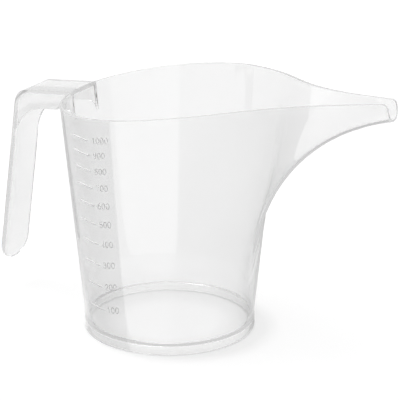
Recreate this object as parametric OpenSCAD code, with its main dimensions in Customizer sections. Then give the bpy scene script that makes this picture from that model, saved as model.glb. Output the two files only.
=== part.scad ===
// Clear measuring jug with a long trough spout, a hooked strap handle and a raised scale.
// The axis of the bowl is Z, the jug stands on z = 0, the spout points along +X
// and the handle along -X. The jug is one moulding, and each sub-part here is one
// feature of it, meeting its neighbours face to face.

/* [Bowl] */
// Outer radius that the bowl's taper would reach at the table
base_r = 46.3; // [40:0.1:50]
// Outer radius of the bowl where the rim's plane crosses the axis
rim_r = 60; // [52:0.5:72]
// Height of the rim's plane above the table, on the axis
rim_z = 136; // [120:1:170]
// Slope of the rim's plane, rising towards the spout, in degrees
rim_tilt = 8.1; // [0:0.1:10]
// Thickness of the moulded wall
wall = 1.3; // [0.9:0.1:2]
// Height of the inside floor above the table
floor_z = 6.3; // [4.5:0.1:8]
// Thickness of the floor
floor_t = 1.5; // [1:0.1:3]

/* [Foot] */
// Height of the foot's straight side, up to where the taper starts
foot_h = 9.9; // [8:0.1:14]
// Thickness of the foot ring
foot_wall = 1.7; // [1:0.1:2.5]

/* [Spout] */
// Distance from the axis to the end of the spout, at the keel
spout_reach = 141.2; // [122:0.1:160]
// Outer width of the trough at its end
mouth_w = 10.3; // [8:0.1:16]
// Depth of the trough at its end
mouth_h = 10.8; // [8:0.1:14]
// Radius of the two top corners at the end of the spout
mouth_corner_r = 3; // [1:0.5:5]
// Distance from the axis to the plane where the rim starts to run out into the spout
spout_root_x = 20; // [15:0.5:30]
// Height where the spout starts to leave the front of the bowl
spout_root_z = 30; // [20:1:50]
// Pull on the rim's curve where it leaves the bowl
rim_pull_root = 53; // [40:1:60]
// Pull on the rim's curve at the end of the spout
rim_pull_mouth = 81; // [60:1:90]
// Angle at which the two rims close in at the end of the spout, in degrees
rim_close_angle = 10; // [4:0.5:12]
// Pull on the keel's curve where it leaves the bowl
keel_pull_root = 64; // [50:1:75]
// Pull on the keel's curve at the end of the spout
keel_pull_mouth = 50; // [40:1:60]
// Rise of the keel at the end of the spout, in degrees
keel_rise_angle = 16.6; // [12:0.1:20]

/* [Handle] */
// Distance from the rim's radius out to the corner where the handle turns down
handle_out = 35.7; // [28:0.1:45]
// Width of the handle
handle_w = 23.2; // [22:0.1:30]
// Thickness of the handle's strap
handle_t = 2; // [1.5:0.1:3]
// Length of the grip, from the corner to its free end
grip_len = 106.8; // [90:0.1:115]
// Outward lean of the grip, in degrees
grip_lean = 7.5; // [0:0.5:12]
// Outer radius of the bend between the top of the handle and the grip
bend_r = 10; // [7:0.5:14]
// Radius of the two corners at the grip's free end
grip_corner_r = 10.5; // [3:0.5:11]
// Thickness of the two side webs under the top of the handle
web_t = 1.6; // [1:0.1:2.5]
// Depth of the side webs, from the top of the handle
web_h = 10.8; // [8:0.1:14]
// Radius of the web's edge where it runs out into the grip
web_run_r = 24; // [16:0.5:28]
// Radius of the web's edge where it meets the bowl
web_root_r = 5; // [3:0.5:9]

/* [Scale] */
// Millilitres from one mark to the next
mark_step_ml = 100; // [50:10:100]
// Millilitres at the top mark
mark_top_ml = 1000; // [500:100:1000]
// Height of a mark's line on the wall
mark_line = 0.6; // [0.3:0.1:1.2]
// How far a mark stands proud of the wall
mark_proud = 0.4; // [0.2:0.1:0.8]
// Length of a mark around the wall
mark_len = 13; // [8:0.5:20]
// Bearing of the middle of the marks around the axis, in degrees
mark_bearing = 250; // [225:1:290]

/* [Hidden] */

// Clear plastic with a cool grey cast
plastic = "#e9edf0";
clarity = 0.55;

// Facets on a full turn, and the overrun of every cut
$fn = 96;
overrun = 1;

// Tapered bowl
taper = (rim_r - base_r) / rim_z;
function r_out(z) = base_r + taper * z;
function r_in(z) = r_out(z) - wall;
function rim_height(x) = rim_z + tan(rim_tilt) * x;
floor_under = floor_z - floor_t;
foot_r = r_out(foot_h);
wall_top = rim_height(rim_r) + overrun;

// Curves of the spout: the rim seen from above and the keel seen from the side
function bezier(p, t) = pow(1 - t, 3) * p[0] + 3 * t * pow(1 - t, 2) * p[1]
    + 3 * t * t * (1 - t) * p[2] + pow(t, 3) * p[3];
function cone_half(x, z) = sqrt(max(0, pow(r_out(z), 2) - x * x));
rim_start = [spout_root_x, cone_half(spout_root_x, rim_height(spout_root_x))];
rim_end = [spout_reach, mouth_w / 2];
rim_controls = [
    rim_start,
    rim_start + rim_pull_root * [rim_start[1], -rim_start[0]] / norm(rim_start),
    rim_end - rim_pull_mouth * [cos(rim_close_angle), -sin(rim_close_angle)],
    rim_end];
keel_start = [r_out(spout_root_z), spout_root_z];
keel_end = [spout_reach, rim_height(spout_reach) - mouth_h];
keel_controls = [
    keel_start,
    keel_start + keel_pull_root * [taper, 1] / norm([taper, 1]),
    keel_end - keel_pull_mouth * [cos(keel_rise_angle), sin(keel_rise_angle)],
    keel_end];
curve_steps = 80;
rim_table = [for (i = [0:curve_steps]) bezier(rim_controls, i / curve_steps)];
keel_table = [for (i = [0:curve_steps]) bezier(keel_controls, i / curve_steps)];

// Lowest height of the spout's skin at a distance x along the spout
function skin_low(x) = x <= keel_start[0] ? spout_root_z : lookup(x, keel_table);

// Share of the trough's shape at a distance x, from none at the front of the bowl to
// all of it at the end of the spout, with a soft start
trough_onset = 1.6;
function spout_share(x) =
    pow(min(1, max(0, (x - keel_start[0]) / (spout_reach - keel_start[0]))), trough_onset);

// Height where the flare starts at a distance x. The start turns softly from level, across
// the front of the bowl, to the rise of the keel, so that no crease runs down the bowl
flare_softness = rim_z / 2;
function front_low(x) = x <= keel_start[0] ? (x - base_r) / taper : skin_low(x);
function flare_low(x) =
    let (rise = front_low(x) - spout_root_z)
    spout_root_z + (rise > flare_softness ? rise : rise < -flare_softness ? 0
        : pow(rise + flare_softness, 2) / (4 * flare_softness));

// The squared half width grows with the taper of the bowl at the root, and turns
// into a U-shaped trough towards the mouth
trough_power = 4;
function skin_half(x, z, low) =
    let (
        high = rim_height(x),
        up = min(1, max(0, (z - low) / (high - low))),
        flare_start = flare_low(x),
        flare = min(1, max(0, (z - flare_start) / (high - flare_start))),
        e = spout_share(x),
        low_sq = x <= keel_start[0] ? x * x : pow(r_out(low), 2),
        cone_sq = (1 - e) * (pow(r_out(z), 2) - low_sq),
        cone_rim_sq = (1 - e) * (pow(r_out(high), 2) - low_sq),
        blend = (1 - e) * flare * flare * (3 - 2 * flare) + e * (1 - pow(1 - up, trough_power))
    )
    sqrt(max(0, cone_sq + (pow(lookup(x, rim_table), 2) - cone_rim_sq) * blend));

// Stations along the spout: around the front of the bowl, then out along the keel
root_stations = 14;
keel_stations = 26;
levels = 14;
root_turn = acos(spout_root_x / keel_start[0]);
station_x = concat(
    [for (i = [0:root_stations - 1]) keel_start[0] * cos(root_turn * (1 - i / root_stations))],
    [for (i = [0:keel_stations]) bezier(keel_controls, i / keel_stations)[0]]);
last_station = root_stations + keel_stations;

// Points close up towards the keel, where the skin turns fastest
function skin_point(i, j) =
    let (
        x = station_x[i],
        low = i >= root_stations ? bezier(keel_controls, (i - root_stations) / keel_stations)[1]
            : spout_root_z,
        z = low + (rim_height(x) - low) * pow(abs(j) / levels, 2),
        half = j == 0 && i >= root_stations ? 0 : skin_half(x, z, low)
    )
    [x, j < 0 ? -half : half, z];

// Inward offset of the skin by one wall, kept in the planes that bound it
function unit(v) = v / norm(v);
rim_normal = [-sin(rim_tilt), 0, cos(rim_tilt)];
x_normal = [1, 0, 0];
z_normal = [0, 0, 1];
function skin_normal(i, j) =
    let (
        ahead = skin_point(min(i + 1, last_station), j),
        behind = skin_point(max(i - 1, 0), j),
        above = skin_point(i, min(j + 1, levels)),
        below = skin_point(i, i >= root_stations ? j - 1 : max(j - 1, 0))
    )
    unit(cross(above - below, ahead - behind));
function bounds_at(i, j) = concat(
    i == 0 || i == last_station ? [x_normal] : [],
    j == levels ? [rim_normal] : [],
    j == 0 && i <= root_stations ? [z_normal] : []);
function inset_way(n, planes) =
    len(planes) == 0 ? n
    : len(planes) == 1 ? unit(n - (n * planes[0]) * planes[0])
    : let (line = unit(cross(planes[0], planes[1]))) line * sign(line * n);
function lining_point(i, j) =
    let (n = skin_normal(i, j), way = inset_way(n, bounds_at(i, j)))
    skin_point(i, j) - wall * way / (way * n);

// Volume below a height, from slices of the inside of the bowl and the spout's root.
// A millilitre is a cube of this side.
slice = 2;
ml_side = 10;
function add(list, i = 0) = i < len(list) ? list[i] + add(list, i + 1) : 0;
function root_area(z) = 2 * slice * add([
    for (x = [spout_root_x + slice / 2:slice:spout_reach])
        let (low = skin_low(x))
        low < z ? skin_half(x, z, low) - cone_half(x, z) : 0]);
function inside_area(z) = PI * pow(r_in(z), 2) + root_area(z);
capacity = [for (z = floor_z, v = 0; z < rim_z;
    v = v + inside_area(z + slice / 2) * slice / pow(ml_side, 3), z = z + slice) [v, z]];

// Handle, drawn in the XZ plane from the corner where its two outer faces would meet
handle_reach = rim_r + handle_out;
corner = [-handle_reach, rim_height(-handle_reach)];
along_top = [cos(rim_tilt), sin(rim_tilt)];
under_top = [sin(rim_tilt), -cos(rim_tilt)];
bend_turn = 90 - rim_tilt - grip_lean;
// Point at one depth under the top's outer face and another inside the grip's outer face
function handle_point(under, inside) = corner + under * under_top
    + (inside - under * cos(bend_turn)) / sin(bend_turn) * along_top;
bend_tangent = bend_r * tan(bend_turn / 2);
bend_centre = handle_point(bend_r, bend_r);
top_bearing = 90 + rim_tilt;
grip_bearing = top_bearing + bend_turn;
web_sink = wall / 2;
arc_steps = 12;
function arc(centre, r, from, to) =
    [for (i = [0:arc_steps]) let (a = from + (to - from) * i / arc_steps)
        centre + r * [cos(a), sin(a)]];

module clear() color(plastic, clarity) children();

module bowl_solid() cylinder(h = wall_top, r1 = r_out(0), r2 = r_out(wall_top));

module above_rim() {
    reach = spout_reach + overrun;
    translate([0, 0, rim_z]) rotate([0, -rim_tilt, 0])
        translate([-reach, -reach, 0]) cube([2 * reach, 2 * reach, reach]);
}

module bowl_wall() clear() difference() {
    rotate_extrude() polygon([
        [r_in(floor_under), floor_under],
        [foot_r, floor_under],
        [foot_r, foot_h],
        [r_out(wall_top), wall_top],
        [r_in(wall_top), wall_top]]);
    above_rim();
    translate([spout_root_x, -spout_reach, spout_root_z])
        cube([spout_reach, 2 * spout_reach, wall_top]);
}

module bowl_floor() clear()
    translate([0, 0, floor_under]) cylinder(h = floor_t, r1 = r_in(floor_under), r2 = r_in(floor_z));

module foot_ring() clear()
    rotate_extrude() translate([foot_r - foot_wall, 0]) square([foot_wall, floor_under]);

module spout() {
    // Columns run from the near rim, round the keel, to the far rim, on the skin and the lining
    columns = 2 * levels + 2;
    skin_count = (last_station + 1) * columns;
    function level_of(c) = c <= levels ? c - levels : c - levels - 1;
    function mirrored(p, side) = [p[0], side * p[1], p[2]];
    function column_point(i, c, lining) =
        let (j = abs(level_of(c)), side = c <= levels ? -1 : 1)
        mirrored(lining ? lining_point(i, j) : skin_point(i, j), side);
    points = [for (lining = [false, true], i = [0:last_station], c = [0:columns - 1])
        column_point(i, c, lining)];
    // The two keel columns are one from the front of the bowl onwards
    function at(i, c, layer) = layer * skin_count + i * columns
        + (c == levels + 1 && i >= root_stations ? levels : c);
    function quad(a, b, c, d) = [[a, b, c], [a, c, d]];
    function strip(list) = [for (q = list) each q];
    skin_faces = strip([for (i = [0:last_station - 1], c = [0:columns - 2])
        if (c != levels) quad(at(i, c, 0), at(i + 1, c, 0), at(i + 1, c + 1, 0), at(i, c + 1, 0))]);
    lining_faces = strip([for (i = [0:last_station - 1], c = [0:columns - 2])
        if (c != levels) quad(at(i, c, 1), at(i, c + 1, 1), at(i + 1, c + 1, 1), at(i + 1, c, 1))]);
    rim_faces = strip([for (i = [0:last_station - 1]) each [
        quad(at(i + 1, 0, 0), at(i, 0, 0), at(i, 0, 1), at(i + 1, 0, 1)),
        quad(at(i, columns - 1, 0), at(i + 1, columns - 1, 0),
            at(i + 1, columns - 1, 1), at(i, columns - 1, 1))]]);
    end_faces = strip([for (c = [0:columns - 2]) if (c != levels) each [
        quad(at(0, c, 0), at(0, c + 1, 0), at(0, c + 1, 1), at(0, c, 1)),
        quad(at(last_station, c + 1, 0), at(last_station, c, 0),
            at(last_station, c, 1), at(last_station, c + 1, 1))]]);
    root_faces = strip([for (i = [0:root_stations - 1]) each [
        quad(at(i, levels, 0), at(i + 1, levels, 0), at(i + 1, levels, 1), at(i, levels, 1)),
        quad(at(i + 1, levels + 1, 0), at(i, levels + 1, 0),
            at(i, levels + 1, 1), at(i + 1, levels + 1, 1))]]);
    clear() difference() {
        polyhedron(points, concat(skin_faces, lining_faces, rim_faces, end_faces, root_faces),
            convexity = 8);
        mouth_cut();
    }
}

// What is cut off the end of the trough, to leave it square to the rim with round corners
module mouth_cut() {
    along = [cos(rim_tilt), sin(rim_tilt)];
    up = [-sin(rim_tilt), cos(rim_tilt)];
    corner_point = keel_end + mouth_h * cos(rim_tilt) * up;
    round_off = arc(corner_point - mouth_corner_r * (along + up), mouth_corner_r, 90 + rim_tilt, rim_tilt);
    over = rim_height(spout_reach) + overrun;
    rotate([90, 0, 0]) linear_extrude(height = 2 * mouth_w, center = true) polygon(concat(
        round_off,
        [keel_end - overrun * up, [spout_reach + overrun, keel_end[1] - overrun],
            [spout_reach + overrun, over], [round_off[0][0], over]]));
}

module handle_top() clear() difference() {
    translate([corner[0], 0, corner[1]]) rotate([0, -rim_tilt, 0])
        translate([bend_tangent, -handle_w / 2, -handle_t])
            cube([handle_reach - bend_tangent, handle_w, handle_t]);
    bowl_solid();
}

module handle_bend() clear()
    translate([bend_centre[0], 0, bend_centre[1]]) rotate([90, 0, 0])
        rotate([0, 0, 90 + rim_tilt]) rotate_extrude(angle = bend_turn)
            translate([bend_r - handle_t, -handle_w / 2]) square([handle_t, handle_w]);

module handle_grip() clear()
    translate([corner[0], 0, corner[1]]) rotate([0, grip_lean, 0]) rotate([90, 0, 90])
        linear_extrude(height = handle_t) polygon(concat(
            [[handle_w / 2, -bend_tangent], [-handle_w / 2, -bend_tangent]],
            arc([grip_corner_r - handle_w / 2, grip_corner_r - grip_len], grip_corner_r, 180, 270),
            arc([handle_w / 2 - grip_corner_r, grip_corner_r - grip_len], grip_corner_r, 270, 360)));

// Side web: under the strap it follows the bend and the grip, and its free edge runs
// along the top, round into the grip at one end and down the bowl at the other
module handle_web(side) {
    run_centre = handle_point(web_h + web_run_r, handle_t + web_run_r);
    root_low = rim_height(-rim_r) - web_h - web_root_r;
    root_x = -cone_half(handle_w / 2, root_low) - web_root_r + web_sink;
    root_centre = [root_x, rim_height(root_x) - (web_h + web_root_r) / cos(rim_tilt)];
    top_end = corner + handle_t * under_top + handle_reach * along_top;
    clear() difference() {
        translate([0, side * (handle_w - web_t) / 2, 0]) rotate([90, 0, 0])
            linear_extrude(height = web_t, center = true) polygon(concat(
                [top_end],
                arc(bend_centre, bend_r - handle_t, top_bearing, grip_bearing),
                arc(run_centre, web_run_r, grip_bearing, top_bearing),
                arc(root_centre, web_root_r, top_bearing, 0),
                [[top_end[0], root_centre[1]]]));
        bowl_solid();
    }
}
module handle_web_near() handle_web(-1);
module handle_web_far() handle_web(1);

// Raised marks, each a short rib on the taper at the height that holds its volume
module volume_marks() clear()
    for (ml = [mark_step_ml:mark_step_ml:mark_top_ml]) {
        z = lookup(ml, capacity);
        turn = mark_len / r_out(z) * 180 / PI;
        low = z - mark_line / 2;
        high = z + mark_line / 2;
        rotate([0, 0, mark_bearing - turn / 2]) rotate_extrude(angle = turn) polygon([
            [r_out(low), low], [r_out(low) + mark_proud, low],
            [r_out(high) + mark_proud, high], [r_out(high), high]]);
    }

bowl_wall();
bowl_floor();
foot_ring();
spout();
handle_top();
handle_bend();
handle_grip();
handle_web_near();
handle_web_far();
volume_marks();
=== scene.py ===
"""Clear moulded measuring jug with a long trough spout, in metres, in the frame of its CAD model."""

import math

import bmesh
import bpy
import numpy as np
from bpy.props import FloatProperty, FloatVectorProperty, IntProperty, PointerProperty
from mathutils import Matrix, Vector


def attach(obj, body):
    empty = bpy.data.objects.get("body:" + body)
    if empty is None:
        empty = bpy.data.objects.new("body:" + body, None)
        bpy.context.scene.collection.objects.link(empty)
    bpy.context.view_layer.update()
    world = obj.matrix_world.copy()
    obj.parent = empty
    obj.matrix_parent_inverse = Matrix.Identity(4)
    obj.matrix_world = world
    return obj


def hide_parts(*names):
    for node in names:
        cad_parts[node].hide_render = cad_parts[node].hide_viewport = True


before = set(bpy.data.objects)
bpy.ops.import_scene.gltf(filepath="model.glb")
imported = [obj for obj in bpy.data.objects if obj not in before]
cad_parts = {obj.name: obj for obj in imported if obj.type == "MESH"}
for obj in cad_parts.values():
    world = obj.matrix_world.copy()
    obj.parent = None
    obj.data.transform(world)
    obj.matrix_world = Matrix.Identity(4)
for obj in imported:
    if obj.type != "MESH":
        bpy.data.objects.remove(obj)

bl_info = {
    "name": "Measuring jug",
    "version": (1, 0, 0),
    "blender": (4, 5, 0),
    "location": "3D View > Sidebar > Jug",
    "description": "Builds a clear plastic measuring jug, its scale and a plain studio",
    "category": "Add Mesh",
}


def linear(hex_text):
    """Linear red, green, blue and alpha of an sRGB hex colour."""
    parts = [int(hex_text[i : i + 2], 16) / 255 for i in (1, 3, 5)]
    return tuple(c / 12.92 if c <= 0.04045 else ((c + 0.055) / 1.055) ** 2.4 for c in parts) + (1.0,)


WHITE, BLACK = linear("#FFFFFF"), linear("#000000")


def length(name, default, description):
    """A property that holds a length in metres."""
    return FloatProperty(name=name, description=description, default=default, min=0.0, precision=5,
                         subtype="DISTANCE", unit="LENGTH")


def turn(name, degrees, description):
    """A property that holds an angle, given here in degrees."""
    return FloatProperty(name=name, description=description, default=math.radians(degrees),
                         subtype="ANGLE", unit="ROTATION")


def colour(name, hex_text, description):
    """A property that holds a colour, given here as sRGB hex."""
    return FloatVectorProperty(name=name, description=description, default=linear(hex_text), size=4,
                               min=0.0, max=1.0, subtype="COLOR")


def number(name, default, description):
    """A property that holds a plain factor."""
    return FloatProperty(name=name, description=description, default=default, min=0.0, precision=3,
                         subtype="FACTOR")


class BowlSettings(bpy.types.PropertyGroup):
    """Sizes of the bowl, its floor and its foot."""

    base_radius: length("Base radius", 0.0463, "Outer radius the taper would reach at the table")
    rim_radius: length("Rim radius", 0.060, "Outer radius where the rim's plane crosses the axis")
    rim_height: length("Rim height", 0.136, "Height of the rim's plane on the axis")
    rim_slope: turn("Rim slope", 8.1, "Rise of the rim's plane towards the spout")
    wall: length("Wall", 0.0013, "Thickness of the moulded wall")
    floor_height: length("Floor height", 0.0063, "Height of the inside floor")
    floor_thickness: length("Floor thickness", 0.0015, "Thickness of the floor")
    foot_radius: length("Foot radius", 0.0473, "Outer radius of the foot ring")
    foot_wall: length("Foot wall", 0.0017, "Thickness of the foot ring")
    floor_fillet: length("Floor fillet", 0.0009, "Radius where the wall runs into the floor")
    edge_round: length("Edge round", 0.00042, "Radius on the edges of the rim, foot and spout")


class SpoutSettings(bpy.types.PropertyGroup):
    """Sizes of the trough spout."""

    reach: length("Reach", 0.1412, "Distance from the axis to the end of the spout, at the keel")
    mouth_width: length("Mouth width", 0.0103, "Outer width of the trough at its end")
    mouth_depth: length("Mouth depth", 0.0108, "Depth of the trough at its end")
    mouth_corner: length("Mouth corner", 0.003, "Radius of the top corners at the end of the trough")
    root_x: length("Root distance", 0.020, "Distance from the axis where the rim starts to run out")
    root_z: length("Root height", 0.030, "Height where the spout starts to leave the bowl")
    rim_pull_root: length("Rim pull at the bowl", 0.053, "Pull on the rim's curve at the bowl")
    rim_pull_mouth: length("Rim pull at the mouth", 0.081, "Pull on the rim's curve at the mouth")
    rim_close: turn("Rim closing", 10, "Angle at which the rims close in at the mouth")
    keel_pull_root: length("Keel pull at the bowl", 0.064, "Pull on the keel's curve at the bowl")
    keel_pull_mouth: length("Keel pull at the mouth", 0.050, "Pull on the keel's curve at the mouth")
    keel_rise: turn("Keel rise", 16.6, "Rise of the keel at the mouth")
    trough_onset: FloatProperty(name="Trough onset", default=1.6, min=1.0,
                                description="How softly the trough's shape sets in along the spout")
    trough_power: FloatProperty(name="Trough power", default=4.0, min=2.0,
                                description="How full the sides of the trough are")
    flare_softness: length("Flare softness", 0.068, "How softly the flare of the bowl's front sets in")
    ease: length("Ease", 0.009, "Distance over which the turn from the bowl into the spout is eased")


class HandleSettings(bpy.types.PropertyGroup):
    """Sizes of the hooked strap handle."""

    reach: length("Reach", 0.0957, "Distance from the axis to the corner where the handle turns down")
    width: length("Width", 0.0232, "Width of the handle")
    strap: length("Strap", 0.002, "Thickness of the strap")
    grip_length: length("Grip length", 0.1068, "From the corner to the free end of the grip")
    grip_lean: turn("Grip lean", 7.5, "Outward lean of the grip")
    bend_radius: length("Bend radius", 0.010, "Outer radius of the bend")
    grip_corner: length("Grip corner", 0.0105, "Radius of the corners at the free end")
    web: length("Web", 0.0016, "Thickness of the side webs")
    web_depth: length("Web depth", 0.0108, "Depth of the side webs from the top face")
    web_run: length("Web run-out", 0.024, "Radius where the web runs out into the grip")
    web_root: length("Web root", 0.005, "Radius where the web meets the bowl")
    edge_round: length("Edge round", 0.0004, "Radius on the edges of the handle")


class ScaleSettings(bpy.types.PropertyGroup):
    """Sizes of the raised scale."""

    step: IntProperty(name="Step", default=100, min=1,
                      description="Millilitres from one mark to the next")
    bearing: turn("Bearing", 250, "Bearing of the middle of the marks around the axis")
    mark_length: length("Mark length", 0.013, "Length of a mark around the wall")
    mark_line: length("Mark line", 0.0006, "Height of a mark's line")
    proud: length("Proud", 0.0004, "How far the marks stand out of the wall")
    digit_height: length("Digit height", 0.0034, "Height of the figures")
    digit_pitch: length("Digit pitch", 0.0030, "From one figure to the next")
    digit_line: length("Digit line", 0.00035, "Width of the figures' lines")
    digit_lift: length("Digit lift", 0.0006, "Height of a number's start over its mark")
    digit_rise: turn("Digit rise", 13, "Angle at which the numbers climb along the wall")
    digit_gap: length("Digit gap", 0.0017, "Space between a mark and its number")


class LookSettings(bpy.types.PropertyGroup):
    """Colours and levels of the plastic and the studio."""

    plastic: colour("Plastic", "#FAFAFA", "Tint of the clear plastic")
    # Grey tints of the raised figures and marks: painted shade, darker than the clear plastic that they are
    # made of
    lettering: colour("Lettering", "#B8B8B8", "Tint of the raised figures")
    line: colour("Line", "#8E8E8E", "Tint of the raised marks")
    roughness: number("Roughness", 0.03, "Roughness of the polished mould's surface")
    handle_roughness: number("Handle roughness", 0.07, "Roughness of the handle's satin surface")
    scale_roughness: number("Scale roughness", 0.25, "Roughness of the raised marks and figures")
    scale_shine: number("Scale shine", 0.1, "How strongly the raised marks and figures mirror")
    ior: FloatProperty(name="IOR", description="Refractive index of the plastic", default=1.49, min=1.0)
    shadow: colour("Shadow tint", "#F7F7F7", "Light that one surface lets through to the table")
    inner: number("Inner level", 0.8, "Brightness of what the plastic mirrors more than once")
    table: colour("Table", "#F4F4F4", "Colour of the studio table")
    surround: number("Surround", 0.55, "Strength of the surround's light on the table")
    key: FloatProperty(name="Key light", default=1.43, min=0.0,
                       description="Strength of the lamp over the jug's left")
    key_spread: turn("Key light spread", 30, "How wide the lamp looks from the jug")


class JugSettings(bpy.types.PropertyGroup):
    """Everything that a user would change."""

    bowl: PointerProperty(type=BowlSettings)
    spout: PointerProperty(type=SpoutSettings)
    handle: PointerProperty(type=HandleSettings)
    scale: PointerProperty(type=ScaleSettings)
    look: PointerProperty(type=LookSettings)


def add(tree, kind, inputs=None, **settings):
    """Adds one node, sets its properties, and links or fills its inputs by name or number.

    A node given for an input stands for its first output."""
    made = tree.nodes.new(kind)
    for name, value in settings.items():
        setattr(made, name, value)
    for name, value in (inputs or {}).items():
        if isinstance(value, bpy.types.Node):
            value = value.outputs[0]
        if isinstance(value, bpy.types.NodeSocket):
            tree.links.new(value, made.inputs[name])
        else:
            made.inputs[name].default_value = value
    return made


def empty_tree(owner):
    """The node tree of a material or a world, with nothing in it."""
    owner.use_nodes = True
    owner.node_tree.nodes.clear()
    return owner.node_tree


def deeper(tree, way, steps):
    """One for light that was mirrored, let through or scattered more than this many times."""
    depth = add(tree, "ShaderNodeLightPath").outputs[way + " Depth"]
    return add(tree, "ShaderNodeMath", {0: depth, 1: steps + 0.5}, operation="GREATER_THAN")


def finish_piece(piece, nodes=()):
    """Puts a piece on the jug's one body and hides the CAD parts that it stands for."""
    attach(piece, "root")
    if nodes:
        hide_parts(*nodes)


def piece_from(name, bm, material, sharp_degrees=45):
    """Makes an object from a mesh in the making: smooth faces, sharp only over steep edges."""
    mesh = bpy.data.meshes.new(name)
    bm.to_mesh(mesh)
    bm.free()
    mesh.shade_smooth()
    mesh.set_sharp_from_angle(angle=math.radians(sharp_degrees))
    mesh.materials.append(material)
    piece = bpy.data.objects.new(name, mesh)
    bpy.context.collection.objects.link(piece)
    return piece


# The jug is moulded in clarified polypropylene from a polished mould: clear and glossy with a
# faint cool grey cast, a soft ripple where the melt flowed, and a slight unevenness in its gloss.
def moulded_plastic(name, look, roughness, tint, ripple=1.0, mirror=0.5):
    """Clear injection-moulded polypropylene."""
    material = bpy.data.materials.new(name)
    tree = empty_tree(material)
    place = add(tree, "ShaderNodeTexCoord").outputs["Object"]
    # Flow ripple about 30 mm from crest to crest, drawn out along the melt's way up the wall
    along = add(tree, "ShaderNodeMapping", {"Vector": place, "Scale": (34.0, 34.0, 12.0)})
    flow = add(tree, "ShaderNodeTexNoise", {"Vector": along, "Scale": 1.0, "Detail": 1.0})
    bump = add(tree, "ShaderNodeBump",
               {"Height": flow.outputs["Fac"], "Strength": 0.1 * ripple, "Distance": 0.0006})
    # Gloss varies by about a third over patches about 8 mm wide
    patches = add(tree, "ShaderNodeTexNoise", {"Vector": place, "Scale": 120.0, "Detail": 2.0})
    gloss = add(tree, "ShaderNodeMapRange", {
        "Value": patches.outputs["Fac"], "From Min": 0.3, "From Max": 0.7,
        "To Min": 0.7 * roughness, "To Max": 1.3 * roughness})
    plastic = add(tree, "ShaderNodeBsdfPrincipled", {
        "Base Color": tint, "Roughness": gloss, "IOR": look.ior, "Transmission Weight": 1.0,
        "Specular IOR Level": mirror, "Normal": bump})
    passing = add(tree, "ShaderNodeBsdfTransparent", {"Color": look.shadow})
    # Light for the table passes straight through, and so does light that an edge keeps mirroring
    straight = add(tree, "ShaderNodeLightPath").outputs["Is Shadow Ray"]
    for passes in (deeper(tree, "Diffuse", 0), deeper(tree, "Glossy", 2)):
        straight = add(tree, "ShaderNodeMath", {0: straight, 1: passes}, operation="MAXIMUM")
    mix = add(tree, "ShaderNodeMixShader", {"Fac": straight, 1: plastic, 2: passing})
    add(tree, "ShaderNodeOutputMaterial", {"Surface": mix})
    return material


# The marks and numbers are cut into the same mould with a fine tool. Their narrow rounded lines turn the
# light aside, so the eye sees them as thin grey lines with little shine. Their grey tints are painted shade
# that adds to this darkness: the real lines are the same clear plastic.
def raised_plastic(name, look, tint):
    """Clear polypropylene in the fine raised lines of the scale, tinted grey as painted shade."""
    return moulded_plastic(name, look, look.scale_roughness, tint, ripple=0.0, mirror=look.scale_shine)


def bezier(points, share):
    """Points of a cubic curve at an array of shares from 0 to 1."""
    t = np.asarray(share)[:, None]
    a, b, c, d = (np.asarray(p, dtype=float) for p in points)
    return (1 - t) ** 3 * a + 3 * t * (1 - t) ** 2 * b + 3 * t * t * (1 - t) * c + t**3 * d


def unit(v):
    """Vectors of length one."""
    return v / np.maximum(np.linalg.norm(v, axis=-1, keepdims=True), 1e-12)


def quarter_round(count):
    """Shares of the radius in and down along a quarter round, from its side to its top."""
    angle = np.linspace(0, math.pi / 2, count)
    return np.stack([1 - np.cos(angle), 1 - np.sin(angle)], axis=1)


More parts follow.
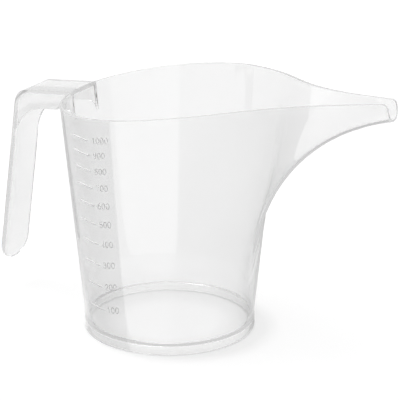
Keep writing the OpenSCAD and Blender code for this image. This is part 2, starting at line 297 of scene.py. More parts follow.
class JugForm:
    """The bowl and spout as functions of place, by the same rules as the CAD source."""

    CURVE_STEPS = 400

    def __init__(self, jug):
        b, s = jug.bowl, jug.spout
        self.b, self.s = b, s
        self.taper = (b.rim_radius - b.base_radius) / b.rim_height
        rim_start = np.array([s.root_x, self.cone_half(s.root_x, self.rim(s.root_x))])
        rim_end = np.array([s.reach, s.mouth_width / 2])
        along = np.array([rim_start[1], -rim_start[0]]) / np.hypot(*rim_start)
        close = np.array([math.cos(s.rim_close), -math.sin(s.rim_close)])
        share = np.linspace(0, 1, self.CURVE_STEPS)
        self.rim_table = bezier([rim_start, rim_start + s.rim_pull_root * along,
                                 rim_end - s.rim_pull_mouth * close, rim_end], share)
        keel_start = np.array([self.outside(s.root_z), s.root_z])
        keel_end = np.array([s.reach, self.rim(s.reach) - s.mouth_depth])
        rise = np.array([self.taper, 1.0]) / math.hypot(self.taper, 1.0)
        end_rise = np.array([math.cos(s.keel_rise), math.sin(s.keel_rise)])
        self.keel_table = bezier([keel_start, keel_start + s.keel_pull_root * rise,
                                  keel_end - s.keel_pull_mouth * end_rise, keel_end], share)
        self.keel_x = keel_start[0]

    def outside(self, z):
        """Outer radius of the taper."""
        return self.b.base_radius + self.taper * z

    def rim(self, x):
        """Height of the rim's plane."""
        return self.b.rim_height + math.tan(self.b.rim_slope) * x

    def cone_half(self, x, z):
        """Half width of the taper in the plane at x."""
        return np.sqrt(np.maximum(0, self.outside(z) ** 2 - np.square(x)))

    def low(self, x):
        """Lowest height of the spout's skin."""
        keel = np.interp(x, self.keel_table[:, 0], self.keel_table[:, 1])
        return np.where(x <= self.keel_x, self.s.root_z, keel)

    def flare_low(self, x):
        """Height where the flare starts, turning softly from level to the rise of the keel."""
        soft = self.s.flare_softness
        front = np.where(x <= self.keel_x, (x - self.b.base_radius) / self.taper, self.low(x))
        rise = front - self.s.root_z
        eased = np.where(rise > soft, rise, np.maximum(0, rise + soft) ** 2 / (4 * soft))
        return self.s.root_z + eased

    def skin_half(self, x, z):
        """Half width of the spout's skin: taper at the root, a U-shaped trough at the mouth."""
        low, high = self.low(x), self.rim(x)
        up = np.clip((z - low) / (high - low), 0, 1)
        flare_start = self.flare_low(x)
        flare = np.clip((z - flare_start) / (high - flare_start), 0, 1)
        e = np.clip((x - self.keel_x) / (self.s.reach - self.keel_x), 0, 1) ** self.s.trough_onset
        low_sq = np.where(x <= self.keel_x, np.square(x), self.outside(low) ** 2)
        cone_sq = (1 - e) * (self.outside(z) ** 2 - low_sq)
        cone_rim_sq = (1 - e) * (self.outside(high) ** 2 - low_sq)
        blend = (1 - e) * flare * flare * (3 - 2 * flare) + e * (1 - (1 - up) ** self.s.trough_power)
        rim_half = np.interp(x, self.rim_table[:, 0], self.rim_table[:, 1])
        return np.sqrt(np.maximum(0, cone_sq + (rim_half**2 - cone_rim_sq) * blend))

    def eased_half(self, x, z):
        """Half width of the skin, averaged along the jug where the bowl turns into the spout.

        The turn is eased over a length that grows with the height over the keel."""
        reach, growth, taps = 0.022, 0.35, np.linspace(-1, 1, 13)
        about = np.clip(1 - np.abs(x - self.keel_x) / reach, 0, 1)
        spread = np.clip((z - self.low(x)) * growth, 0, self.s.ease) * about * about * (3 - 2 * about)
        weights = (1 - taps * taps) ** 2 + 1e-9
        return sum(w * self.skin_half(x + t * spread, z) for t, w in zip(taps, weights / weights.sum()))

    def mouth_pull(self, x, depth):
        """Draws the end of the trough back towards the rim: square to the rim, with round corners."""
        s, radius, slope = self.s, self.s.mouth_corner, self.b.rim_slope
        end_depth = s.mouth_depth * math.cos(slope)
        square = depth * math.cos(slope)
        inside = np.clip(radius - square, 0, radius)
        cut = radius - np.sqrt(np.maximum(0, radius**2 - inside**2))
        cut += np.clip(end_depth - square, 0, end_depth) * math.tan(slope)
        fade_length = 8 * radius
        share = np.clip(1 - (s.reach - x) / fade_length, 0, 1)
        return x - cut * share


def body_mesh(jug):
    """One closed shell: outside skin, rounded rim, lining, foot and floor."""
    form = JugForm(jug)
    b, s = jug.bowl, jug.spout
    rnd, wall = b.edge_round, b.wall
    arc_in, arc_down = rnd * quarter_round(5).T

    # Stations round the back, across the front of the bowl, along the spout and round its end
    back, root, keel = 48, 26, 64
    root_turn = math.acos(s.root_x / form.keel_x)
    root_x = form.keel_x * np.cos(root_turn * (1 - np.arange(1, root + 1) / root))
    along = np.arange(1, keel + 1) / keel
    keel_x = np.interp(along, np.linspace(0, 1, form.CURVE_STEPS), form.keel_table[:, 0]) - rnd * along
    end_x = s.reach - arc_down[1:]
    front_x = np.concatenate([root_x, keel_x, end_x])
    end_inset = np.concatenate([np.zeros(back + 1 + root + keel), arc_in[1:]])[:, None, None]
    count = back + 1 + len(front_x)

    # Rows from the keel up to the rim: shares of the height, then depths under the rim
    levels, margin, edge_row = 34, 0.0016, 0.0010
    rows = [("share", (j / levels) ** 2) for j in range(levels + 1)]
    rows += [("depth", d) for d in (edge_row, *arc_down)]
    shift = np.concatenate([np.zeros(levels + 2), arc_in])

    def height(x, row):
        low = form.low(x)
        return low + (form.rim(x) - margin - low) * row[1] if row[0] == "share" else form.rim(x) - row[1]

    # A row round the back follows the sloping rim, so its places settle in a few rounds
    settling = 25
    skin = np.zeros((count, len(rows), 3))
    for m, row in enumerate(rows):
        share = 1 - np.arange(back + 1) / back
        x = np.zeros(back + 1)
        for _ in range(settling):
            z = form.rim(x) - row[1] if row[0] == "depth" else (
                s.root_z + (form.rim(x) - margin - s.root_z) * row[1])
            start = np.arccos(s.root_x / form.outside(z))
            bearing = start + (math.pi - start) * share
            x = form.outside(z) * np.cos(bearing)
        y = np.where(share == 1, 0, form.outside(z) * np.sin(bearing))
        skin[: back + 1, m] = np.stack([x, y, z], axis=1)
        depth = form.rim(front_x) - height(front_x, row)
        pulled = form.mouth_pull(front_x, depth)
        z = form.rim(pulled) - depth
        half = form.eased_half(pulled, z)
        if m == 0:
            half[root - 1 :] = 0
        skin[back + 1 :, m] = np.stack([pulled, half, z], axis=1)

    # Outward normals from neighbours, with mirror images past the plane y = 0
    flip = np.array([1, -1, 1])
    ahead = np.concatenate([skin[1:], skin[-1:]])
    behind = np.concatenate([skin[1:2] * flip, skin[:-1]])
    above = np.concatenate([skin[:, 1:], skin[:, -1:]], axis=1)
    under = skin[:, :1].copy()
    under[back + root :, 0] = skin[back + root :, 1] * flip
    below = np.concatenate([under, skin[:, :-1]], axis=1)
    normal = unit(np.cross(above - below, ahead - behind))
    rim_up = np.array([-math.sin(b.rim_slope), 0, math.cos(b.rim_slope)])
    way = normal.copy()
    way[back + root + keel :, :, 0] = 0
    rim_rows = slice(levels, None)
    way[:, rim_rows] -= (way[:, rim_rows] @ rim_up)[..., None] * rim_up
    way = unit(way)
    # The lining keeps the wall's thickness square to the skin, where the way in is slanted too
    least_slant = 0.5
    slant = np.maximum(least_slant, np.sum(way * normal, axis=-1, keepdims=True))
    lining = skin - wall * way / slant

    # Rounded rim, then the rounded end of the trough. The two sides stop short of each other.
    most_inset = 0.42 * wall
    across = unit(lining - skin)
    inset = np.minimum(shift[None, :, None] + end_inset, most_inset)
    depths = np.array([1.0 if kind == "share" else size for kind, size in rows])
    sink = np.clip(1 - depths / (wall / 2), 0, 1)[None, :, None] * end_inset
    outer, inner = skin + across * inset - rim_up * sink, lining - across * inset - rim_up * sink

    # Profiles of the lower bowl, foot and floor, as radius and height. A row close beside each
    # round keeps the flat next to it flat to the eye.
    lean = wall / math.cos(math.atan(form.taper))
    foot_top = (b.foot_radius - b.base_radius) / form.taper
    under_z, ring_r = b.floor_height - b.floor_thickness, b.foot_radius - b.foot_wall
    under_fillet, beside, floor_rings = 0.0006, 0.0005, (0.85, 0.6, 0.3, 0.08)
    foot_rows = (foot_top - 0.001, foot_top / 2, 0.0015, 0.0009)
    outside = [(form.outside(z), z) for z in np.linspace(s.root_z, foot_top, 7)[1:]]
    outside += [(b.foot_radius, z) for z in foot_rows]
    outside += [(b.foot_radius - i, d) for i, d in zip(arc_in, arc_down)]
    outside += [(ring_r + i, d) for i, d in zip(arc_in[::-1], arc_down[::-1])]
    outside += [(ring_r, 0.001), (ring_r, under_z - under_fillet - beside)]
    outside += [(ring_r - under_fillet * i, under_z - under_fillet * d) for i, d in quarter_round(5)]
    outside += [(ring_r - under_fillet - beside, under_z)] + [(ring_r * k, under_z) for k in floor_rings]

    overlap, beside = 0.004, 0.0006
    fillet, fillet_top = b.floor_fillet, b.floor_height + b.floor_fillet
    floor_r = form.outside(fillet_top) - lean
    inside = [(form.outside(z) - lean, z)
              for z in (*np.linspace(s.root_z - overlap, foot_top, 6), fillet_top + beside)]
    inside += [(floor_r - fillet * i, b.floor_height + fillet * d) for i, d in quarter_round(8)]
    inside += [(floor_r - fillet - beside, b.floor_height)]
    inside += [(floor_r * k, b.floor_height) for k in floor_rings]

    ring = np.arctan2(skin[: back + root + 1, 0, 1], skin[: back + root + 1, 0, 0])
    ring[0], ring[-1] = math.pi, 0.0
    verts, faces = [], []

    def grid(points):
        start = len(verts)
        verts.extend(points.reshape(-1, 3))
        return np.arange(start, start + points.shape[0] * points.shape[1]).reshape(points.shape[:2])

    def quads(a, c, reverse=False):
        for k in range(len(a) - 1):
            quad = [a[k], c[k], c[k + 1], a[k + 1]]
            faces.append(quad[::-1] if reverse else quad)

    def revolve(profile, first_row, reverse):
        radius, z = np.array(profile).T
        points = np.stack([radius[None] * np.cos(ring)[:, None], radius[None] * np.sin(ring)[:, None],
                           np.broadcast_to(z[None], (len(ring), len(z)))], axis=2)
        made = grid(points)
        before = first_row
        for m in range(made.shape[1]):
            quads(made[:, m], before, reverse)
            before = made[:, m]
        verts.append(np.array([0, 0, profile[-1][1]]))
        for k in range(len(before) - 1):
            fan = [len(verts) - 1, before[k], before[k + 1]]
            faces.append(fan[::-1] if reverse else fan)

    out_ids, in_ids = grid(outer), grid(inner)
    for m in range(len(rows) - 1):
        quads(out_ids[:, m], out_ids[:, m + 1])
        quads(in_ids[:, m], in_ids[:, m + 1], reverse=True)
    quads(out_ids[:, -1], in_ids[:, -1])
    quads(out_ids[-1], in_ids[-1], reverse=True)
    revolve(outside, out_ids[: back + root + 1, 0], False)
    revolve(inside, in_ids[: back + root + 1, 0], True)

    bm = bmesh.new()
    points = np.array(verts)
    for side in (1, -1):
        made = [bm.verts.new((x, side * y, z)) for x, y, z in points]
        for face in faces:
            order = face if side == 1 else face[::-1]
            bm.faces.new([made[i] for i in order])
    return weld(bm)


def weld(bm):
    """Joins corners that fall together and drops faces without area."""
    bmesh.ops.remove_doubles(bm, verts=bm.verts, dist=2e-6)
    bmesh.ops.dissolve_degenerate(bm, edges=bm.edges, dist=1e-7)
    return bm


def handle_mesh(jug):
    """The strap, its bend, its grip and its two webs as one channel section along the handle."""
    form = JugForm(jug)
    b, h = jug.bowl, jug.handle
    slope, rnd = b.rim_slope, h.edge_round
    corner = np.array([-h.reach, form.rim(-h.reach)])
    along = np.array([math.cos(slope), math.sin(slope)])
    under = np.array([math.sin(slope), -math.cos(slope)])
    bend_turn = math.pi / 2 - slope - h.grip_lean

    def handle_point(depth, inside):
        return corner + depth * under + (inside - depth * math.cos(bend_turn)) / math.sin(bend_turn) * along

    def direction(angle):
        return np.array([math.cos(angle), math.sin(angle)])

    top_way, grip_way = math.pi / 2 + slope, math.pi / 2 + slope + bend_turn
    tangent = h.bend_radius * math.tan(bend_turn / 2)
    bend_centre = handle_point(h.bend_radius, h.bend_radius)
    run_centre = handle_point(h.web_depth + h.web_run, h.strap + h.web_run)
    down, inward = direction(grip_way + math.pi / 2), -direction(grip_way)
    root_low = form.rim(-b.rim_radius) - h.web_depth - h.web_root
    root_x = -float(form.cone_half(h.width / 2, root_low)) - h.web_root
    root_centre = np.array([root_x, form.rim(root_x) - (h.web_depth + h.web_root) / math.cos(slope)])

    # Outer face from the bowl to the free end, with the way in at each station
    run_start = float((run_centre - corner) @ along)
    run_end = float((run_centre + h.web_run * direction(grip_way) - corner) @ down)
    root_height, root_overlap, top_count = 0.92 * b.rim_height, 0.004, 14
    wall_t = float((-form.outside(root_height) - corner[0]) * along[0])
    stations = [(corner + t * along, under)
                for t in (*np.linspace(wall_t + root_overlap, run_start, top_count),
                          *np.linspace(run_start, tangent, 6)[1:])]
    stations += [(bend_centre + h.bend_radius * direction(a), -direction(a))
                 for a in np.linspace(top_way, grip_way, 16)[1:]]
    stations += [(corner + t * down, inward) for t in np.linspace(tangent, run_end, 10)[1:]]
    web_count = len(stations)

    # Down the plain grip to its round corners and its rounded end, as lengths and insets
    corner_start, end_start = h.grip_length - h.grip_corner, h.grip_length - 1.05 * rnd
    lengths = list(np.linspace(run_end, corner_start, 16)[1:])
    lengths += list(corner_start + h.grip_corner * np.sin(np.linspace(0, math.pi / 2, 12)[1:-1]))
    lengths = [t for t in lengths if t < end_start]
    arc_in, arc_down = rnd * quarter_round(5).T
    insets = [0.0] * len(lengths) + list(arc_in)
    lengths += list(h.grip_length - arc_down)
    stations += [(corner + t * down, inward) for t in lengths]

    # Free edge of the webs, matched station by station, down the bowl and along to the grip
    root_arc = [root_centre + h.web_root * direction(a) for a in np.linspace(0, top_way, 8)]
    straight_end = run_centre + h.web_run * direction(top_way)
    free = root_arc + [root_arc[-1] + (straight_end - root_arc[-1]) * k
                       for k in np.linspace(0, 1, top_count - len(root_arc) + 1)[1:]]
    free += [run_centre + h.web_run * direction(a)
             for a in np.linspace(top_way, grip_way, web_count - len(free) + 1)[1:]]

    # Half of the section at each station, from the top round a web to the strap's underside. Its
    # inner round takes less than half of the web's fall, and a web a good half of the width.
    least, most_round, most_web = 2e-5, 0.45, 0.6
    loops = []
    for k, (outer, way) in enumerate(stations):
        beyond = k - web_count
        inset, half = 0.0, h.width / 2
        if beyond >= 0:
            inset = insets[beyond]
            past = max(0.0, lengths[beyond] - corner_start)
            half -= h.grip_corner - math.sqrt(max(0, h.grip_corner**2 - past**2)) + inset
        top, strap = outer + inset * way, outer + (h.strap - inset) * way
        edge = free[k] if k < web_count else strap
        gap = float(np.linalg.norm(edge - strap))
        if gap < least:
            edge, gap = strap, 0.0
        fall = (edge - strap) / gap if gap else way
        small = max(rnd - inset, least)
        inner_round = min(small, gap * most_round)
        wide = min(h.web, half * most_web)
        lift = fall if gap > small else way
        loop = [(half - small * i, top + way * small * d) for i, d in quarter_round(4)[::-1]]
        loop += [(half - small * i, edge - lift * small * d) for i, d in quarter_round(4)]
        loop += [(half - wide + inner_round * i, edge - fall * inner_round * d)
                 for i, d in quarter_round(3)[::-1]]
        loop.append((half - wide, strap))
        loops.append([(y, p[0], p[1]) for y, p in loop])

    bm = bmesh.new()
    rings = []
    for k, loop in enumerate(loops):
        whole = loop + [(-y, x, z) for y, x, z in reversed(loop)]
        ring = []
        for y, x, z in whole:
            if k == 0:
                # The first ring lies in the middle of the bowl's wall
                x = -math.sqrt(max(0, (float(form.outside(z)) - b.wall / 2) ** 2 - y * y))
            ring.append(bm.verts.new((x, y, z)))
        rings.append(ring)
    size = len(rings[0])
    for a, c in zip(rings, rings[1:]):
        for i in range(size):
            bm.faces.new((a[i], a[(i + 1) % size], c[(i + 1) % size], c[i]))
    bm.faces.new(rings[0][::-1])
    bm.faces.new(rings[-1])
    weld(bm)
    bmesh.ops.recalc_face_normals(bm, faces=bm.faces)
    return bm


def mark_heights():
    """Heights of the CAD scale's marks, lowest first, from the middles of its solids."""
    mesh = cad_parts["volume_marks"].data
    z = np.sort(np.array([v.co.z for v in mesh.vertices]))
    gap = 0.002
    groups = np.split(z, np.where(np.diff(z) > gap)[0] + 1)
    return [float(g.min() + g.max()) / 2 for g in groups]


def scale_tree(name, sizes):
    """A Geometry Nodes tree with a mesh input, named inputs for sizes and material, and an output."""
    tree = bpy.data.node_groups.new(name, "GeometryNodeTree")
    tree.interface.new_socket("Places", in_out="INPUT", socket_type="NodeSocketGeometry")
    for label in ("Base radius", "Taper", "Bearing") + sizes:
        tree.interface.new_socket(label, in_out="INPUT", socket_type="NodeSocketFloat")
    tree.interface.new_socket("Material", in_out="INPUT", socket_type="NodeSocketMaterial")
    tree.interface.new_socket("Geometry", in_out="OUTPUT", socket_type="NodeSocketGeometry")
    return tree, add(tree, "NodeGroupInput").outputs


def wrap_on_taper(tree, given, geometry):
    """Lays flat geometry on the bowl: X runs round the wall, Z up it, and Y out of it."""
    flat = add(tree, "ShaderNodeSeparateXYZ", {0: add(tree, "GeometryNodeInputPosition")}).outputs
    radius = add(tree, "ShaderNodeMath", {0: given["Taper"], 1: flat["Z"], 2: given["Base radius"]},
                 operation="MULTIPLY_ADD")
    round_wall = add(tree, "ShaderNodeMath", {0: flat["X"], 1: radius}, operation="DIVIDE")
    bearing = add(tree, "ShaderNodeMath", {0: given["Bearing"], 1: round_wall}, operation="ADD")
    out = add(tree, "ShaderNodeMath", {0: radius, 1: flat["Y"]}, operation="ADD")
    placed = add(tree, "ShaderNodeCombineXYZ", {"Z": flat["Z"]})
    for axis, share in (("X", "COSINE"), ("Y", "SINE")):
        part = add(tree, "ShaderNodeMath", {0: bearing}, operation=share)
        along = add(tree, "ShaderNodeMath", {0: out, 1: part}, operation="MULTIPLY")
        tree.links.new(along.outputs[0], placed.inputs[axis])
    return add(tree, "GeometryNodeSetPosition", {"Geometry": geometry, "Position": placed})


def end_tree(tree, given, geometry):
    """Ends a tree in real geometry with its material."""
    real = add(tree, "GeometryNodeRealizeInstances", {0: geometry})
    coated = add(tree, "GeometryNodeSetMaterial", {"Geometry": real, "Material": given["Material"]})
    add(tree, "NodeGroupOutput", {0: coated})


def marks_tree():
    """One rounded bar for each height, laid on the taper."""
    tree, given = scale_tree("Raised marks", ("Length", "Line", "Proud"))
    ends = {}
    for end, share in (("Start", -0.5), ("End", 0.5)):
        half = add(tree, "ShaderNodeMath", {0: given["Length"], 1: share}, operation="MULTIPLY")
        ends[end] = add(tree, "ShaderNodeCombineXYZ", {"X": half})
    line = add(tree, "GeometryNodeCurvePrimitiveLine", ends)
    even = add(tree, "GeometryNodeResampleCurve", {"Curve": line, "Count": 25})
    radius = add(tree, "ShaderNodeMath", {0: given["Line"], 1: 0.5}, operation="MULTIPLY")
    section = add(tree, "GeometryNodeCurvePrimitiveCircle", {"Resolution": 12, "Radius": radius})
    bar = add(tree, "GeometryNodeCurveToMesh", {"Curve": even, "Profile Curve": section, "Fill Caps": True})
    # The round bar is drawn out in depth, so that it stands proud by the given height
    depth = add(tree, "ShaderNodeMath", {0: given["Proud"], 1: radius}, operation="DIVIDE")
    deep = add(tree, "ShaderNodeCombineXYZ", {"X": 1.0, "Y": depth, "Z": 1.0})
    shaped = add(tree, "GeometryNodeTransform", {"Geometry": bar, "Scale": deep})
    points = add(tree, "GeometryNodeMeshToPoints", {0: given["Places"]})
    placed = add(tree, "GeometryNodeInstanceOnPoints", {"Points": points, "Instance": shaped})
    real = add(tree, "GeometryNodeRealizeInstances", {0: placed})
    end_tree(tree, given, wrap_on_taper(tree, given, real))
    return tree


def arc(x, y, wide, high, start, end, count=15):
    """Points of an elliptical arc, with angles in degrees."""
    turned = np.radians(np.linspace(start, end, count))
    return [(x + wide * math.cos(t), y + high * math.sin(t)) for t in turned]


# Strokes of the plain figures in a box 0.64 wide and one high
FIGURES = {
    "0": [arc(0.32, 0.5, 0.3, 0.5, 90, 450, 29)],
    "1": [[(0.12, 0.78), (0.36, 1.0), (0.36, 0.0)]],
    "2": [arc(0.32, 0.72, 0.29, 0.28, 165, -35) + [(0.03, 0.0), (0.63, 0.0)]],
    "3": [arc(0.31, 0.76, 0.26, 0.24, 150, -90) + arc(0.31, 0.26, 0.3, 0.26, 90, -150)],
    "4": [[(0.64, 0.28), (0.02, 0.28), (0.46, 1.0), (0.46, 0.0)]],
    "5": [[(0.58, 1.0), (0.12, 1.0), (0.08, 0.54)] + arc(0.31, 0.31, 0.3, 0.31, 125, -150)],
    "6": [arc(0.56, 0.34, 0.53, 0.66, 96, 180) + arc(0.32, 0.31, 0.29, 0.31, 180, -180, 25)],
    "7": [[(0.04, 1.0), (0.62, 1.0), (0.24, 0.0)]],
    "8": [arc(0.32, 0.77, 0.23, 0.23, -90, 270, 23), arc(0.32, 0.27, 0.3, 0.27, 90, 450, 25)],
    "9": [arc(0.08, 0.66, 0.53, 0.66, -84, 0) + arc(0.32, 0.69, 0.29, 0.31, 0, 360, 25)],
}


def figure_strokes(scale, heights):
    """The lines of all numbers, lying flat with X along the wall and Z up it."""
    points, edges = [], []
    for row, height in enumerate(heights):
        for place, figure in enumerate(str((row + 1) * scale.step)):
            for stroke in FIGURES[figure]:
                first = len(points)
                for x, y in stroke:
                    along = x * scale.digit_height + place * scale.digit_pitch
                    climb = scale.digit_lift + along * math.tan(scale.digit_rise)
                    points.append((along, 0.0, height + climb + (y - 0.5) * scale.digit_height))
                edges += [(k, k + 1) for k in range(first, len(points) - 1)]
    return points, edges


def numbers_tree():
    """Raised rounded lines along the strokes of the numbers, laid on the taper."""
    tree, given = scale_tree("Raised numbers", ("Line",))
    strokes = add(tree, "GeometryNodeMeshToCurve", {0: given["Places"]})
    radius = add(tree, "ShaderNodeMath", {0: given["Line"], 1: 0.5}, operation="MULTIPLY")
    section = add(tree, "GeometryNodeCurvePrimitiveCircle", {"Resolution": 8, "Radius": radius})
    line = add(tree, "GeometryNodeCurveToMesh",
               {"Curve": strokes, "Profile Curve": section, "Fill Caps": True})
    end_tree(tree, given, wrap_on_taper(tree, given, line))
    return tree


def piece_from_tree(name, tree, points, edges, values, sharp_degrees=50):
    """Runs a tree on points and lines and keeps the result as a plain mesh."""
    start = bpy.data.meshes.new(name + "_start")
    start.from_pydata(points, edges, [])
    piece = bpy.data.objects.new(name, start)
    bpy.context.collection.objects.link(piece)
    modifier = piece.modifiers.new("Scale", "NODES")
    modifier.node_group = tree
    names = {item.name: item.identifier for item in tree.interface.items_tree if item.in_out == "INPUT"}
    for label, value in values.items():
        modifier[names[label]] = value
    depsgraph = bpy.context.evaluated_depsgraph_get()
    mesh = bpy.data.meshes.new_from_object(piece.evaluated_get(depsgraph), depsgraph=depsgraph)
    piece.modifiers.remove(modifier)
    piece.data = mesh
    mesh.name = name
    mesh.shade_smooth()
    mesh.set_sharp_from_angle(angle=math.radians(sharp_degrees))
    if not mesh.polygons:
        raise RuntimeError(name + " came out empty")
    return piece


class JUG_OT_body(bpy.types.Operator):
    """Make the bowl, floor, foot and spout as one moulded shell"""

    bl_idname = "jug.body"
    bl_label = "Bowl and spout"
    bl_options = {"REGISTER", "UNDO"}

    def execute(self, context):
        jug = context.scene.measuring_jug
        bm = body_mesh(jug)
        volume, gaps = bm.calc_volume(signed=True), sum(not edge.is_manifold for edge in bm.edges)
        if volume <= 0 or gaps:
            raise RuntimeError("the bowl's shell isn't closed: volume %.9f, %d open edges" % (volume, gaps))
        # Polished mould: clear, with sharp reflections
        clear = moulded_plastic("clear_polypropylene_moulded", jug.look, jug.look.roughness, jug.look.plastic)
        finish_piece(piece_from("jug_bowl", bm, clear), ["bowl_wall", "bowl_floor", "foot_ring", "spout"])
        return {"FINISHED"}


class JUG_OT_handle(bpy.types.Operator):
    """Make the hooked strap handle with its webs"""

    bl_idname = "jug.handle"
    bl_label = "Handle"
    bl_options = {"REGISTER", "UNDO"}

    def execute(self, context):
        jug = context.scene.measuring_jug
        # Satin mould: the same clear plastic with softer reflections
        satin = moulded_plastic("clear_polypropylene_satin_handle", jug.look, jug.look.handle_roughness,
                                jug.look.plastic)
        finish_piece(piece_from("jug_handle", handle_mesh(jug), satin),
                     ["handle_top", "handle_bend", "handle_grip", "handle_web_near", "handle_web_far"])
        return {"FINISHED"}


class JUG_OT_marks(bpy.types.Operator):
    """Make the raised marks of the scale"""

    bl_idname = "jug.marks"
    bl_label = "Marks"
    bl_options = {"REGISTER", "UNDO"}

    def execute(self, context):
        jug = context.scene.measuring_jug
        scale, points = jug.scale, [(0, 0, z) for z in mark_heights()]
        piece = piece_from_tree("scale_marks", marks_tree(), points, [], {
            "Base radius": jug.bowl.base_radius, "Taper": JugForm(jug).taper, "Bearing": scale.bearing,
            "Length": scale.mark_length, "Line": scale.mark_line, "Proud": scale.proud,
            "Material": raised_plastic("clear_polypropylene_lines", jug.look, jug.look.line)})
        finish_piece(piece, ["volume_marks"])
        return {"FINISHED"}


class JUG_OT_numbers(bpy.types.Operator):
    """Make the raised numbers of the scale"""

    bl_idname = "jug.numbers"
    bl_label = "Numbers"
    bl_options = {"REGISTER", "UNDO"}

    def execute(self, context):
        jug = context.scene.measuring_jug
        scale, radius = jug.scale, jug.bowl.base_radius
        start = scale.bearing + (scale.mark_length / 2 + scale.digit_gap) / radius
        points, edges = figure_strokes(scale, mark_heights())
        finish_piece(piece_from_tree("scale_numbers", numbers_tree(), points, edges, {
            "Base radius": radius, "Taper": JugForm(jug).taper, "Bearing": start, "Line": scale.digit_line,
            "Material": raised_plastic("clear_polypropylene_lettering", jug.look, jug.look.lettering)}))
        return {"FINISHED"}


class JUG_OT_stage(bpy.types.Operator):
    """Set up the camera, the table, the surround and the lamp"""

    bl_idname = "jug.stage"
    bl_label = "Studio"
    bl_options = {"REGISTER", "UNDO"}

    def execute(self, context):
        look = context.scene.measuring_jug.look
        make_camera()
        make_table(look)
        make_surround(look)
        make_lamp(look)
        return {"FINISHED"}


def make_camera():
    """The photograph's view: 1.55 m away, 20.5 degrees down, 34 degrees towards the spout."""
    bearing, away, height = 0.601, 1.5527, 0.653
    pitch, yaw = 0.3577, 0.0109
    data = bpy.data.cameras.new("camera")
    data.sensor_width, data.lens = 36.0, 271.2
    data.clip_start, data.clip_end = 0.05, 20.0
    camera = bpy.data.objects.new("camera", data)
    bpy.context.collection.objects.link(camera)
    turned = Matrix.Rotation(bearing, 3, "Z")
    camera.location = turned @ Vector((0, -away, height))
    ahead = Vector((math.sin(yaw) * math.cos(pitch), math.cos(yaw) * math.cos(pitch), -math.sin(pitch)))
    camera.rotation_mode = "QUATERNION"
    camera.rotation_quaternion = (turned @ ahead).to_track_quat("-Z", "Y")
    bpy.context.scene.camera = camera


# Points of the table: the jug's axis, the one that the painted dark panel's bearings are taken about, and the
# middle of the painted soft shadow
TABLE_LEVEL = -0.0002
AXIS = (0.0, 0.0, TABLE_LEVEL)
PAINTED_PANEL_MIDDLE = (0.010, -0.042, TABLE_LEVEL)
SHADOW_MIDDLE = (0.010, 0.001, TABLE_LEVEL)

# Cards round the jug, painted on the table as a glow that only mirrored rays see: bearings in degrees, once
# round it, and the painted brightness there. The near wall mirrors the panel and the close cards. The far
# wall mirrors the wide cards through the near wall, and the over cards over the rim.
FIRST_BEARING = -236
PAINTED_PANEL_CARD = ((-236, 0.9), (-200, 0.8), (-165, 0.1), (-122.8, 0.0), (-121.8, 1.0), (124, 1.0))
PAINTED_CLOSE_CARDS = ((-236, 0.45), (-195, 0.9), (-150, 1.3), (-60, 1.3), (-45, 1.0), (-17, 0.95), (38, 0.42),
               (52, 0.7), (70, 0.65), (124, 0.45))
PAINTED_WIDE_CARDS = ((-236, 0.7), (-165, 0.1), (-68.5, 0.1), (-66.5, 1.1), (11, 1.1), (14, 0.1), (110, 0.8))
PAINTED_OVER_CARDS = ((-236, 0.8), (-170, 1.2), (-90, 1.2), (-60, 1.0), (0, 0.5), (60, 0.3), (124, 0.8))


def fade(tree, middle, edges, levels):
    """Level on the table, running evenly between two distances from a point."""
    place = add(tree, "ShaderNodeNewGeometry").outputs["Position"]
    out = add(tree, "ShaderNodeVectorMath", {0: place, 1: middle}, operation="DISTANCE")
    return add(tree, "ShaderNodeMapRange", {
        "Value": out.outputs["Value"], "From Min": edges[0], "From Max": edges[1],
        "To Min": levels[0], "To Max": levels[1]})


def levels_round(tree, middle, cards):
    """Painted brightness by bearing about a point of the table, from cards with levels up to two."""
    first, last = math.radians(FIRST_BEARING), math.radians(FIRST_BEARING + 360)
    place = add(tree, "ShaderNodeNewGeometry").outputs["Position"]
    out = add(tree, "ShaderNodeVectorMath", {0: place, 1: middle}, operation="SUBTRACT")
    way = add(tree, "ShaderNodeSeparateXYZ", {0: out}).outputs
    bearing = add(tree, "ShaderNodeMath", {0: way["Y"], 1: way["X"]}, operation="ARCTAN2")
    turned = add(tree, "ShaderNodeMath", {0: bearing, 1: last, 2: first}, operation="WRAP")
    share = add(tree, "ShaderNodeMapRange", {"Value": turned, "From Min": first, "From Max": last})
    ramp = add(tree, "ShaderNodeValToRGB", {"Fac": share})
    points = ramp.color_ramp.elements
    while len(points) < len(cards):
        points.new(1.0)
    for point, (degrees, level) in zip(points, cards):
        point.position = (degrees - FIRST_BEARING) / 360
        point.color = (level / 2, level / 2, level / 2, 1)
    return add(tree, "ShaderNodeMath", {0: ramp, 1: 2.0}, operation="MULTIPLY")


def reflection_mask(tree):
    """One for light from the eye that the jug has mirrored, before the table has scattered it."""
    return add(tree, "ShaderNodeMath", {0: deeper(tree, "Glossy", 0), 1: deeper(tree, "Diffuse", 0)},
               operation="GREATER_THAN")


def mirrored_level(tree, look, first):
    """Brightness in a reflection: its own level at first, and an even one when mirrored again."""
    return add(tree, "ShaderNodeMix", {"Factor": deeper(tree, "Glossy", 1), "A": first, "B": look.inner},
               data_type="FLOAT")


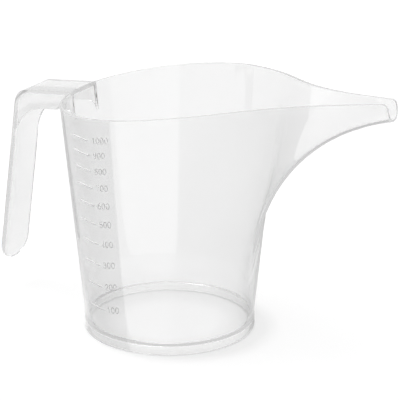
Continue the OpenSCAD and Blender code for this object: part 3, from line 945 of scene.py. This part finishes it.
def painted_card_level(tree):
    """Painted reflection: how bright the table glows in a reflection, by bearing and by distance from the
    jug.
    """
    panel_end, hard_edge, over_start, over_full = 0.34, 0.0001, 0.42, 0.62
    panel = add(tree, "ShaderNodeMath", {
        0: levels_round(tree, PAINTED_PANEL_MIDDLE, PAINTED_PANEL_CARD),
        1: fade(tree, AXIS, (panel_end, panel_end + hard_edge), (0.0, 1.0))}, operation="MAXIMUM")
    close = add(tree, "ShaderNodeMath", {0: panel, 1: levels_round(tree, AXIS, PAINTED_CLOSE_CARDS)},
                operation="MULTIPLY")
    direct = add(tree, "ShaderNodeMix", {
        "Factor": fade(tree, AXIS, (over_start, over_full), (0.0, 1.0)),
        "A": close, "B": levels_round(tree, AXIS, PAINTED_OVER_CARDS)}, data_type="FLOAT")
    return add(tree, "ShaderNodeMix", {
        "Factor": deeper(tree, "Transmission", 2), "A": direct, "B": levels_round(tree, AXIS, PAINTED_WIDE_CARDS)},
        data_type="FLOAT")


# Matt white laminate: it spreads the light evenly and has no shine of its own. The eye sees it a
# little brighter than it is lit, as white.
def make_table(look):
    """A wide pale table, white to the eye and through the plastic, that keeps the jug's shadow. It also
    carries a painted contact shadow and a painted glow under the jug, and painted reflection cards that only
    mirrored rays see.
    """
    bm = bmesh.new()
    bmesh.ops.create_circle(bm, cap_ends=True, segments=96, radius=9.0)
    bmesh.ops.translate(bm, verts=bm.verts, vec=(0, 0, TABLE_LEVEL))
    material = bpy.data.materials.new("table_matt_laminate")
    tree = empty_tree(material)
    path = add(tree, "ShaderNodeLightPath")
    matt = add(tree, "ShaderNodeBsdfDiffuse", {"Color": look.table})
    # Brighter through the plastic, so that the table stays white there, and brighter still under the jug's
    # floor: a painted pool of light that stands in for the light which the floor gathers
    through = add(tree, "ShaderNodeMath", {
        0: path.outputs["Is Transmission Ray"], 1: fade(tree, AXIS, (0.026, 0.046), (0.28, 0.10))},
        operation="MULTIPLY")
    lift = add(tree, "ShaderNodeMath", {0: path.outputs["Is Camera Ray"], 1: 0.17, 2: through},
               operation="MULTIPLY_ADD")
    glow = add(tree, "ShaderNodeEmission", {"Color": WHITE, "Strength": lift})
    bright = add(tree, "ShaderNodeAddShader", {0: matt, 1: glow})
    # Painted contact shadow, by distance from the axis: a thin one round the foot, which ends 47.3 mm out,
    # and a soft one away from the lamp. A black matt surface is mixed into the table there.
    thin = fade(tree, AXIS, (0.0463, 0.0480), (0.20, 0.0))
    soft = fade(tree, SHADOW_MIDDLE, (0.044, 0.054), (0.10, 0.0))
    both = add(tree, "ShaderNodeMath", {0: thin, 1: soft}, operation="ADD")
    outside = fade(tree, AXIS, (0.0440, 0.0450), (0.0, 1.0))
    contact = add(tree, "ShaderNodeMath", {0: outside, 1: both}, operation="MULTIPLY")
    dark = add(tree, "ShaderNodeBsdfDiffuse", {"Color": BLACK})
    lit = add(tree, "ShaderNodeMixShader", {"Fac": contact, 1: bright, 2: dark})
    # Painted reflections: in mirrored rays the table glows at the painted cards' levels
    cards = mirrored_level(tree, look, painted_card_level(tree))
    mirror = add(tree, "ShaderNodeEmission", {"Color": WHITE, "Strength": cards})
    mix = add(tree, "ShaderNodeMixShader", {"Fac": reflection_mask(tree), 1: lit, 2: mirror})
    add(tree, "ShaderNodeOutputMaterial", {"Surface": mix})
    piece_from("table", bm, material)


def make_surround(look):
    """White all round to the eye, and a little less to the table and in repeated reflections."""
    world = bpy.data.worlds.new("studio_surround")
    bpy.context.scene.world = world
    tree = empty_tree(world)
    plain = add(tree, "ShaderNodeMapRange", {
        "Value": deeper(tree, "Diffuse", 0), "To Min": 1.0, "To Max": look.surround})
    # In the plastic the surround is darker towards the front, behind the eye
    way = add(tree, "ShaderNodeSeparateXYZ", {0: add(tree, "ShaderNodeTexCoord").outputs["Generated"]})
    front = add(tree, "ShaderNodeMapRange", {
        "Value": way.outputs["Y"], "From Min": -0.6, "From Max": -0.3, "To Min": 0.3, "To Max": 1.0})
    level = add(tree, "ShaderNodeMix", {
        "Factor": reflection_mask(tree), "A": plain, "B": mirrored_level(tree, look, front)},
        data_type="FLOAT")
    white = add(tree, "ShaderNodeBackground", {"Color": WHITE, "Strength": level})
    add(tree, "ShaderNodeOutputWorld", {"Surface": white})


def make_lamp(look):
    """A wide even lamp over the jug's left, aimed at the middle of the jug."""
    data = bpy.data.lights.new("key_light", "SUN")
    data.energy, data.angle = look.key, look.key_spread
    lamp = bpy.data.objects.new("key_light", data)
    lamp.location = (-0.45, -0.2, 1.5)
    lamp.visible_glossy = False
    lamp.rotation_mode = "QUATERNION"
    jug_middle = Vector((0, 0, 0.07))
    lamp.rotation_quaternion = (jug_middle - lamp.location).to_track_quat("-Z", "Y")
    bpy.context.collection.objects.link(lamp)


OPERATORS = (JUG_OT_body, JUG_OT_handle, JUG_OT_marks, JUG_OT_numbers, JUG_OT_stage)


class JUG_PT_panel(bpy.types.Panel):
    """Buttons that build the jug"""

    bl_idname = "JUG_PT_panel"
    bl_label = "Measuring jug"
    bl_space_type = "VIEW_3D"
    bl_region_type = "UI"
    bl_category = "Jug"

    def draw(self, context):
        for operator in OPERATORS:
            self.layout.operator(operator.bl_idname)


SETTINGS = (BowlSettings, SpoutSettings, HandleSettings, ScaleSettings, LookSettings, JugSettings)
CLASSES = SETTINGS + OPERATORS + (JUG_PT_panel,)


def register():
    for kind in CLASSES:
        bpy.utils.register_class(kind)
    bpy.types.Scene.measuring_jug = PointerProperty(type=JugSettings)


def unregister():
    del bpy.types.Scene.measuring_jug
    for kind in reversed(CLASSES):
        bpy.utils.unregister_class(kind)


def main():
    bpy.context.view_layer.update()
    register()
    bpy.context.scene.view_settings.view_transform = "Standard"
    bpy.ops.jug.body()
    bpy.ops.jug.handle()
    bpy.ops.jug.marks()
    bpy.ops.jug.numbers()
    bpy.ops.jug.stage()


if __name__ == "__main__":
    main()
